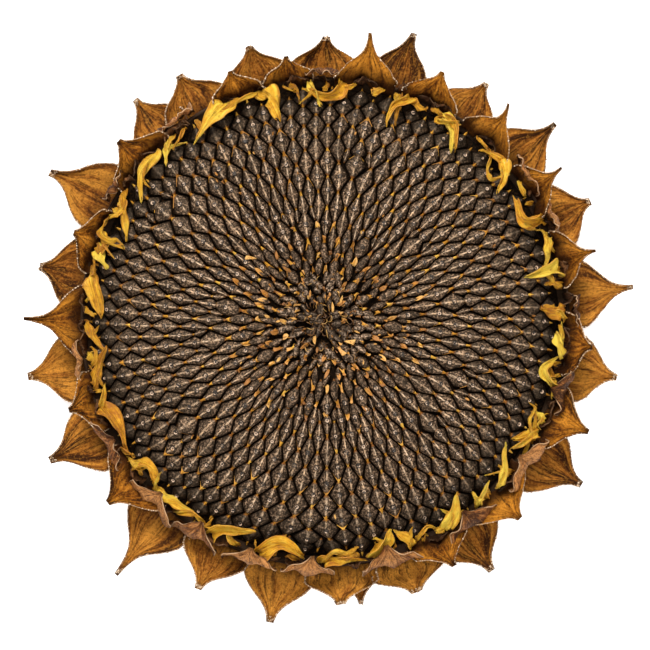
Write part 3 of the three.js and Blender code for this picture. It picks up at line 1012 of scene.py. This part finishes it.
outerBractShape = {
    "blades": [
        (6.3, 97.8, 21.5, -0.4, 15, 0.35),
        (24.5, 92.2, 22.5, 0, 13),
        (40.6, 95.6, 20.5, -0.2, 17, 0.25),
        (56.2, 91.0, 19.5, 0.6, 14),
        (73.3, 95.1, 18.0, 0.8, 16),
        (90.3, 89.8, 24.0, 1.0, 17),
        (105.2, 89.8, 23.0, -0.3, 19),
        (120.8, 90.6, 22.5, 0.4, 14),
        (130.6, 92.8, 19.0, 0.2, 10),
        (150.7, 98.8, 22.5, -1.4, 15),
        (169.0, 91.9, 24.0, 0, 13),
        (190.5, 95.4, 22.5, 0.2, 14),
        (206.8, 97.1, 22.5, 0.2, 16),
        (230.3, 103.4, 22.0, -0.2, 15, 0.45),
        (244.6, 92.8, 22.5, 0.2, 19),
        (259.6, 96.4, 22.5, 0.1, 14),
        (273.7, 88.6, 23.0, 1.0, 20, -0.5),
        (277.3, 90.2, 12.0, 0, 10),
        (289.0, 89.6, 22.5, 0.4, 18, -0.8),
        (303.8, 94.6, 22.0, -0.1, 14),
        (327.5, 95.8, 23.0, -0.2, 15),
        (349.4, 93.7, 22.0, 0.2, 15),
    ],
    "tones": [
        0.55, 0.5, 0.35, 0.5, 0.15, 0.35, 0.72, 0.5, 0.42, 0.7, 0.3,
        0.75, 0.35, 0.55, 0.72, 0.8, 0.85, 0.5, 0.85, 0.35, 0.35, 0.6,
    ],
    "root": (68.5, 12.5),
    "bend": (81, 0.7, 0),
    "outline": [(0, 0.7), (0.42, 1), (0.55, 1), (0.68, 0.78), (0.79, 0.36), (0.89, 0.16), (1, 0.08)],
    "slenderFrom": 0.5,
    "cup": 0.22,
    "wave": 0.6,
    "crumple": 0.12,
    "thickness": 0.4,
}
middleBractShape = {
    "blades": [
        (15.0, 86.8, 18.0, 0.4, 28, 0.5),
        (32.6, 87.6, 17.5, -0.8, 28, 0.55),
        (48.4, 88.4, 18.0, -2.4, 28, 0.55),
        (64.6, 85.8, 18.0, -0.3, 27),
        (80.4, 90.6, 18.5, -1.2, 29, 0.4),
        (98.7, 83.4, 15.5, 0.6, 27),
        (111.0, 83.2, 16.5, 0.4, 28),
        (138.8, 85.3, 22.0, 0, 27),
        (160.4, 82.8, 20.5, 0, 27),
        (179.7, 93.8, 21.5, 0.6, 25, 0.5),
        (199.0, 84.2, 19.0, 0, 26),
        (219.8, 88.0, 24.0, 0, 25),
        (297.3, 85.8, 19.5, -1.0, 26),
        (314.8, 86.2, 23.5, 0, 25),
        (337.3, 88.9, 20.5, 0, 25),
        (354.8, 83.4, 19.0, 0.4, 27),
    ],
    "tones": [0.5, 0.5, 0.6, 0.65, 0.8, 0.5, 0.55, 0.5, 0.45, 0.5, 0.35, 0.4, 0.5, 0.6, 0.55, 0.4],
    "root": (75.4, 18.5),
    "bend": (78.2, 0, -0.6),
    "outline": [(0, 1), (0.3, 1.08), (0.52, 0.95), (0.7, 0.46), (0.84, 0.19), (1, 0.06)],
    "slenderFrom": 0.25,
    "cup": 0.12,
    "wave": 0.8,
    "crumple": 0.22,
    "thickness": 0.3,
}
innerBractShape = {
    "blades": [
        (2.3, 77.4, 10.5, 0, 26.5),
        (25.4, 77.0, 12.0, 0, 26.5),
        (35.8, 77.2, 14.0, 0, 26.5),
        (91.0, 76.8, 11.0, 0, 26.5),
        (126.3, 77.4, 12.5, 0, 26.5),
        (147.0, 77.0, 11.0, 0, 26.5),
        (189.2, 76.4, 14.0, 0, 26.5),
        (209.4, 74.8, 18.0, 0.6, 27.0),
        (226.0, 73.3, 19.0, -0.4, 27.5),
        (238.8, 72.8, 16.0, 0.5, 27.5),
        (252.5, 73.8, 17.5, 0.8, 27.5),
        (266.0, 72.8, 17.0, -1.2, 27.5),
        (285.6, 71.8, 19.5, 0.5, 28.0),
        (306.3, 72.6, 18.5, 0.4, 27.5),
        (324.8, 73.2, 20.0, -0.5, 27.5),
        (343.8, 73.2, 15.5, 0.5, 27.5),
    ],
    "root": (78.6, 18),
    "bend": (79.6, 0, -0.4),
    "outline": [(0, 1), (0.4, 1), (0.6, 0.72), (0.78, 0.34), (0.9, 0.14), (1, 0.05)],
    "slenderFrom": 0.5,
    "cup": -0.12,
    "wave": 1.2,
    "crumple": 0.45,
    "thickness": 0.3,
    "toneSeed": 3421,
}
paleBractShape = {  # small crumpled bracts that stand at the disc's edge, behind the ray florets
    "count": 44,
    "seed": 661,
    "reach": (76.2, 2.4),  # the least of each, and how much more the largest has
    "width": (4, 7),
    "height": (21.5, 3),
    "root": (75.6, 18.5),
    "bend": (76.6, 0, -0.6),
    "outline": [(0, 0.7), (0.4, 1), (0.7, 0.6), (1, 0.15)],
    "slenderFrom": 0.5,
    "cup": 0.3,
    "wave": 0.9,
    "crumple": 0.3,
    "thickness": 0.3,
    "toneSeed": 2488,
}


def paleBlades(shape):
    draw = draws(shape["seed"])
    blades = []
    for k in range(shape["count"]):
        pick = take(draw, 4)
        bearing = (k + 0.9 * (pick[0] - 0.5)) * 360 / shape["count"]
        reach, width, height = (
            least + more * share
            for (least, more), share in zip(
                (shape["reach"], shape["width"], shape["height"]), (pick[1], pick[2] ** 1.5, pick[3])
            )
        )
        blades.append((bearing, reach, width, 2 * (pick[0] - 0.5), height))
    return blades


paleBractShape["blades"] = paleBlades(paleBractShape)


def bractPlace(shape, blade, seed):
    bearing, reach, width, hook, tipHeight = blade[:5]
    slender = blade[5] if len(blade) > 5 else 0
    angle = math.radians(bearing)
    bendDistance, rootShare, added = shape["bend"]
    start = Vector(shape["root"])
    bend = Vector((bendDistance, mix(tipHeight, start.y, rootShare) + added))
    end = Vector((reach, tipHeight))

    def place(u, s):
        a, b = start.lerp(bend, s), bend.lerp(end, s)
        at, heading = a.lerp(b, s), (b - a).normalized()
        narrow = 1 - slender * smooth(shape["slenderFrom"], 0.82, s)
        half = width / 2 * max(0.04, softAlong(shape["outline"], s)) * narrow
        ragged = 1 + 0.05 * ripple(s * 7, seed * 3.1, u) + 0.03 * ripple(s * 22, seed * 1.7, u)
        half *= mix(1, ragged, abs(u))
        off = shape["cup"] * half * u * u * (1 - s)
        off += shape["wave"] * abs(u) ** 3 * ripple(s * 4.5 + seed * 5.3, u * 1.3, seed) * 2.2
        off += 0.075 * half * math.cos(u * 5.2 + 0.8 * seed) * (1 - s * s)  # broad folds, then fine ones
        off += 0.024 * half * math.cos(u * 12 + 2.1 * seed + 2 * s) * (1 - s)
        waves = ((0.8, 2.6, 2.4, 9.1), (0.36, 6.5, 2.2, 4.7), (shape["crumple"], 5.5, 8, 2.9))
        for height, wide, long, shift in waves:
            off += height * ripple(u * wide, s * long, seed * shift)
        off += 0.5 * abs(u) ** 7 * (1 - 0.5 * s)  # the margin turns in
        across = u * half + hook * s**5
        distance = at.x - heading.y * off
        return atBearing(distance, angle - across / at.x, at.y + heading.x * off)

    return place


def makeBracts(shape, name, material, nodes=(), columns=20, rows=30):
    bm = newMesh()
    tones = shape.get("tones") or take(draws(shape["toneSeed"]), len(shape["blades"]))
    places = [bractPlace(shape, blade, k + 1) for k, blade in enumerate(shape["blades"])]
    for place, tone in zip(places, tones):
        addSheet(bm, columns, rows, place, tone)
    makePiece(bm, name, material, nodes, shape["thickness"])
    return places


outerPlaces = makeBracts(outerBractShape, "outerBracts", outerBrown, ["receptacle_and_bracts"])
middlePlaces = makeBracts(middleBractShape, "middleBracts", middleBrown)
makeBracts(paleBractShape, "rimPales", rimPalesInShade, (), 6, 10)
makeBracts(innerBractShape, "innerBracts", innerBrown, (), 16, 26)
print("bracts made")


# Hairs: short cones along the margins of the bracts, and a tuft at the tip of each outer one

hairShape = {
    "length": 0.55,
    "radius": 0.3,
    "outer": (40, 0.42, 1),  # hairs on a margin, where they begin along it, and their share of the length
    "middle": (22, 0.2, 0.55),
    "spread": 1.3,
    "tuft": 22,
    "tuftFrom": 0.94,
    "tuftLength": 1.2,
    "tuftSpread": 3.0,
}


def addHair(bm, template, place, side, s, long, spread, pick):
    at = place(side, s)
    out = (at - place(side * 0.8, s)).normalized()
    ahead = (place(side, min(1, s + 0.02)) - place(side, s - 0.02)).normalized()
    heading = out + ahead * (0.5 + spread * (pick[0] - 0.5)) + Vector((0, 0, 1)) * (spread * (pick[1] - 0.35))
    turn = heading.normalized().to_track_quat("Z", "Y").to_matrix()
    long *= 0.5 + pick[2]
    thick = 0.7 + 0.6 * pick[3]
    base = at + Vector((0, 0, 0.26)) - out * 0.3

    def stand(co):
        return (base + turn @ Vector((co.x * thick, co.y * thick, (co.z + 0.5) * long))) * mm

    addCopy(bm, template, stand, pick[4])


def makeHairs(shape):
    cone = newMesh()
    bmesh.ops.create_cone(cone, cap_ends=True, segments=3, radius1=shape["radius"], radius2=0.0, depth=1.0)
    template = finishTemplate(cone, "hairTemplate")
    bm = newMesh()
    draw = draws(2113)
    for places, (count, start, share) in ((outerPlaces, shape["outer"]), (middlePlaces, shape["middle"])):
        long = shape["length"] * share
        for place in places:
            for side in (-1, 1):
                for k in range(count):
                    s = mix(start, 0.98, (k + next(draw)) / (count + 1))
                    addHair(bm, template, place, side, s, long, shape["spread"], take(draw, 5))
    long = shape["length"] * shape["tuftLength"]
    for place in outerPlaces:
        for _ in range(shape["tuft"]):
            side = 2 * next(draw) - 1
            s = mix(shape["tuftFrom"], 0.995, next(draw))
            addHair(bm, template, place, side, s, long, shape["tuftSpread"], take(draw, 5))
    makePiece(bm, "bractHairs", hairWhite)


makeHairs(hairShape)
print("hairs made")


# Ray florets: bearing at the root, bearing and distance of the bend and of the tip, full width

rayShape = {
    "blades": [
        (2.5, 2.6, 71.5, 3.6, 66.8, 6.2),
        (12.5, 12.9, 71.0, 12.6, 62.9, 5.0),
        (21.0, 17.6, 73.2, 13.8, 70.2, 3.6),
        (25.2, 27.4, 69.0, 34.0, 70.6, 5.4),
        (43.2, 39.8, 72.0, 36.6, 66.4, 4.4),
        (60.6, 57.0, 72.4, 53.2, 65.0, 4.8),
        (69.0, 72.2, 70.2, 72.6, 63.2, 4.2),
        (86.0, 89.6, 70.8, 95.8, 73.2, 4.6),
        (93.8, 92.0, 71.4, 91.2, 66.8, 3.0),
        (105.0, 103.4, 71.4, 102.4, 63.4, 6.6),
        (114.6, 119.4, 72.2, 126.8, 68.4, 5.8),
        (131.0, 133.0, 72.6, 135.6, 69.2, 3.2),
        (135.2, 141.4, 73.4, 147.2, 68.0, 4.2),
        (149.0, 151.2, 71.4, 158.2, 66.4, 5.2),
        (158.4, 159.8, 72.0, 159.8, 66.4, 2.4),
        (161.6, 164.0, 72.6, 166.6, 69.8, 4.6),
        (168.6, 173.4, 71.8, 179.2, 69.6, 6.4),
        (180.8, 184.2, 72.2, 187.6, 69.0, 3.8),
        (195.2, 191.4, 72.0, 186.0, 68.2, 4.0),
        (200.8, 207.4, 72.6, 214.6, 74.0, 4.6),
        (216.6, 219.8, 71.4, 224.4, 73.6, 5.2),
        (225.6, 229.4, 73.0, 235.4, 71.8, 6.4),
        (241.8, 244.8, 71.6, 252.0, 68.6, 5.6),
        (254.0, 259.2, 70.6, 265.4, 74.4, 6.0),
        (269.8, 273.4, 74.2, 280.4, 75.8, 4.6),
        (282.2, 285.4, 70.4, 287.8, 67.6, 6.8),
        (291.4, 290.2, 71.8, 288.2, 67.8, 4.6),
        (300.4, 304.4, 71.6, 308.0, 66.8, 5.0),
        (310.0, 310.6, 72.4, 311.0, 69.8, 3.4),
        (316.6, 321.0, 72.0, 326.6, 67.4, 3.0),
        (332.2, 330.8, 71.8, 327.8, 68.4, 5.6),
        (335.4, 336.6, 73.2, 337.4, 70.8, 2.6),
        (344.2, 347.8, 69.6, 351.8, 74.0, 4.6),
        (352.0, 354.8, 73.4, 357.8, 72.6, 4.2),
    ],
    "outline": [(0, 0.35), (0.3, 0.85), (0.52, 1), (0.75, 0.66), (0.9, 0.28), (1, 0.04)],
    "thickness": 0.2,
    "roots": [(74.9, 19.5), (74.6, 23.2)],  # distance and height
    "rises": (2.7, 1.6),  # how far the bend and the tip stand over the disc
    "branched": 0.5,
    "scraps": 60,
    "curls": [  # width, then bearing, distance and height over the disc along each
        (2.2, [
            (153, 75.0, -1), (155.4, 75.2, 3), (158.4, 75.4, 4.2),
            (159.7, 71.6, 3.4), (158.4, 69.6, 2.4), (159.7, 65.9, 1.4),
        ]),
        (1.7, [
            (46, 75.0, -1), (44.8, 72.6, 3), (43.3, 69.2, 2.6),
            (40.8, 68.0, 2.2), (39.6, 71.0, 2.8), (41.0, 72.8, 2.6),
        ]),
        (2.0, [
            (230.5, 75.0, -1), (232.4, 75.2, 3.2), (235.2, 72.2, 4.0),
            (238.4, 72.6, 3.4), (240.2, 75.0, 1.0),
        ]),
        (1.6, [
            (268.5, 75.2, -1), (269.6, 74.8, 3), (272.4, 71.8, 3.6),
            (275.4, 72.6, 2.6), (276.4, 75.2, 1.0),
        ]),
        (1.6, [
            (330.0, 75.0, -1), (331.5, 73.6, 2.8), (334.6, 70.2, 3.0),
            (337.8, 70.6, 2.4), (338.4, 68.0, 1.4),
        ]),
        (1.5, [(8.0, 75.2, -1), (9.0, 73.0, 2.8), (12.2, 71.6, 3.0), (14.5, 73.2, 2.4), (13.2, 75.2, 1.2)]),
        (1.6, [(292.0, 75.2, -1), (293.6, 72.6, 3.0), (296.4, 71.2, 3.2), (298.6, 73.4, 2.4)]),
        (1.6, [(191.0, 75.2, -1), (190.2, 73.2, 3.0), (187.4, 71.8, 3.4), (186.0, 73.6, 2.6)]),
    ],
}


def rayRoute(shape, blade):
    rootBearing, bendBearing, bendRadius, tipBearing, tipRadius = blade[:5]
    a, b, c = (math.radians(x) for x in (rootBearing, bendBearing, tipBearing))
    bendRise, tipRise = shape["rises"]
    return [atBearing(radius, a, height) for radius, height in shape["roots"]] + [
        atBearing(bendRadius, b, discHeight(bendRadius) + bendRise),
        atBearing(tipRadius, c, discHeight(tipRadius) + tipRise),
    ]


def rayPlace(shape, path, width, seed):
    fold = 0.75 if ripple(seed * 2.7, 0.3) > 0 else -0.55

    def place(u, s):
        s = s - 0.1 * s**5 * abs(math.sin(u * 3.1 + seed))
        centre = curveThrough(path, s)
        ahead = (curveThrough(path, min(1, s + 0.03)) - curveThrough(path, max(0, s - 0.03))).normalized()
        flat = Vector((centre.y, -centre.x, 0)).normalized()
        level = Vector((-ahead.y, ahead.x, 0)).normalized()
        across = flat.lerp(level, smooth(0.1, 0.5, s)).normalized()
        up = ahead.cross(across).normalized()
        turn = Matrix.Rotation(1.5 * ripple(s * 1.9, seed * 3.7, 0.4) * smooth(0.15, 0.6, s), 3, ahead)
        across, up = turn @ across, turn @ up
        half = width / 2 * softAlong(shape["outline"], s) * (0.9 + 0.9 * ripple(s * 5.2, seed * 1.9, u * 1.5))
        pleat = 0.12 * math.cos(u * 11.5 + seed + 2.5 * s) * smooth(0.1, 0.4, s)
        off = fold * half * (abs(u + 0.3 * math.sin(seed * 3)) ** 1.2) * smooth(0.15, 0.5, s) + pleat
        off += 0.7 * ripple(u * 2.2, s * 4.2, seed * 5.9)
        off += 1.6 * abs(u) ** 3 * ripple(s * 6 + seed, u, 2.2)
        narrow = 1 - 0.2 * abs(fold) * abs(u)
        return centre + across * (u * half * narrow) + up * off

    return place


def makeRays(shape):
    bm = newMesh()
    draw = draws(1201)
    for k, blade in enumerate(shape["blades"]):
        addSheet(bm, 14, 26, rayPlace(shape, rayRoute(shape, blade), blade[5], k + 1), next(draw))
        pick = take(draw, 4)
        if pick[0] < shape["branched"]:  # a second, narrower lobe that leaves at the bend
            root, bend, bendRadius, _, tipRadius, width = blade
            side = 1 if pick[1] > 0.5 else -1
            lobe = (root, bend + side, bendRadius + 0.8, bend + side * (2 + 4 * pick[2]), tipRadius + 1.2)
            addSheet(bm, 8, 20, rayPlace(shape, rayRoute(shape, lobe), width * 0.55, k + 0.5), pick[3])
    for k in range(shape["scraps"]):  # torn ends of others, between the large ones
        pick = take(draw, 6)
        bearing = k * 360 / shape["scraps"] + 7 * (pick[0] - 0.5)
        bend = 71.8 + 2.2 * pick[1]
        lean = 13 * (pick[2] - 0.5)
        blade = (bearing, bearing + lean * 0.8, bend, bearing + lean, bend + 2 - 6.5 * pick[3])
        width = 0.8 + 2.2 * pick[4]
        addSheet(bm, 6, 12, rayPlace(shape, rayRoute(shape, blade), width, k + 60), pick[5] * 0.5)
    for k, (width, points) in enumerate(shape["curls"]):
        path = [atBearing(out, math.radians(at), discHeight(out) + lift) for at, out, lift in points]
        addSheet(bm, 6, 30, rayPlace(shape, path, width, k + 130), 0.2 + 0.2 * next(draw))
    makePiece(bm, "rayFlorets", rayYellow, ["ray_florets"], shape["thickness"])


makeRays(rayShape)
print("ray florets made")


# The back: a shallow bowl with the stalk's flat cut, up to the rim that carries the bracts

backShape = {
    "profile": [
        (0, 0), (6, 0), (11, 0), (13.4, 0), (14.1, 0.5), (14.9, 2.4), (18, 3.5), (24, 4.6), (34, 5.8),
        (44, 7.0), (54, 8.7), (62, 10.4), (68, 12.5), (73, 14.6), (76.2, 17.0), (76.9, 18.4),
        (76.6, 19.6), (76.2, 19.8), (75.8, 19.4), (75.8, 18.1), (0, 18.1),
    ],
    "steps": 204,
    "ribs": 34,
    "ribHeight": 0.22,
    "roughness": 0.35,
    "shaped": (0.01, 17.9),  # the heights between which ribs and roughness show
}


def backForm(co):
    low, high = backShape["shaped"]
    radius = math.hypot(co.x, co.y)
    if radius < 1e-6 or co.z > high or co.z < low:
        return co
    wave = backShape["ribHeight"] * math.sin(math.atan2(co.y, co.x) * backShape["ribs"])
    rib = wave * smooth(16, 40, radius) * (1 - smooth(70, 78, radius))
    rough = backShape["roughness"] * ripple(co.x * 0.09, co.y * 0.09, 0.3) * smooth(14, 24, radius)
    return Vector((co.x, co.y, max(0.0, co.z + rib + rough)))


spunPiece(
    backShape["profile"],
    backShape["steps"],
    "receptacleBack",
    backStraw,
    ["receptacle_and_bracts"],
    backForm,
)
print("back made")


# Floor, sky and lamps

stageSetup = {
    "reach": 10.0,
    "floor": (0.95, 0.95, 0.95, 1),
    "roughness": 0.9,
    "glow": 0.62,  # a light table, as in the photograph
    "sky": 0.36,
    "white": (1, 1, 1, 1),
    "aim": (0, 0, 0.02),
    "lamps": {  # place, size and power
        "keyLamp": ((-0.2, 0.85, 1.0), 0.5, 20.5),
        "topLamp": ((0.05, 0.16, 1.3), 0.25, 3.5),
        "fillLamp": ((0.15, -0.95, 0.8), 0.5, 7),
    },
}


def makeStage(setup):
    bm = bmesh.new()
    bmesh.ops.create_grid(bm, x_segments=1, y_segments=1, size=setup["reach"])
    floor = bpy.data.objects.new("floor", finishTemplate(bm, "floor"))
    scene.collection.objects.link(floor)
    paint = Paint("floorWhite")
    for key, value in (
        ("Base Color", setup["floor"]),
        ("Roughness", setup["roughness"]),
        ("Emission Color", setup["white"]),
        ("Emission Strength", setup["glow"]),
    ):
        paint.shader.inputs[key].default_value = value
    floor.data.materials.append(paint.material)
    world = bpy.data.worlds.new("softSky")
    world.use_nodes = True
    world.node_tree.nodes["Background"].inputs["Color"].default_value = setup["white"]
    world.node_tree.nodes["Background"].inputs["Strength"].default_value = setup["sky"]
    scene.world = world
    for name, (place, size, power) in setup["lamps"].items():
        data = bpy.data.lights.new(name, "AREA")
        data.size = size
        data.energy = power
        lamp = bpy.data.objects.new(name, data)
        lamp.location = place
        lamp.rotation_euler = (Vector(setup["aim"]) - lamp.location).to_track_quat("-Z", "Y").to_euler()
        scene.collection.objects.link(lamp)
    scene.view_settings.view_transform = "Standard"
    scene.view_settings.look = "None"


makeStage(stageSetup)
print("stage made")
